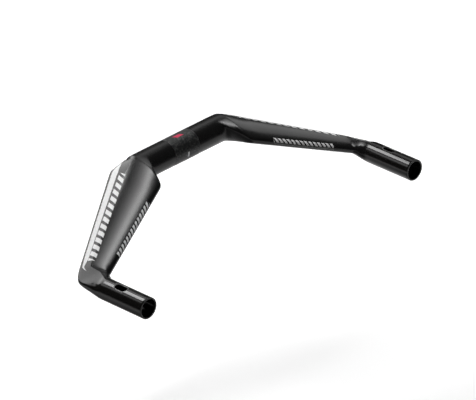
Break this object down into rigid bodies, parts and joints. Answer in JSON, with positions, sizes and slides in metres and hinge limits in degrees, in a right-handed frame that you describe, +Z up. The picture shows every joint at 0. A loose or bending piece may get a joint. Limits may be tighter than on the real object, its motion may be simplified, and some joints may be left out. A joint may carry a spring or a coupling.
{
  "type": "bicycle base bar",
  "caption": "Hollow moulded triathlon base bar with a round clamp tube in the middle, wing-shaped arms sweeping forward and down, and round open grips with oval cable ports on top.",
  "frame": {"origin": "centre of the round clamp tube, on the bar's middle plane", "axes": "+X to the rider's right along the clamp tube, +Y forward along the grips, +Z up"},
  "size_m": [0.448, 0.1759, 0.0829],
  "materials": {
    "laminate": "black carbon laminate under a satin to gloss clear coat"
  },
  "bodies": {
    "root": {"base_bar": "laminate"}
  },
  "joints": []
}
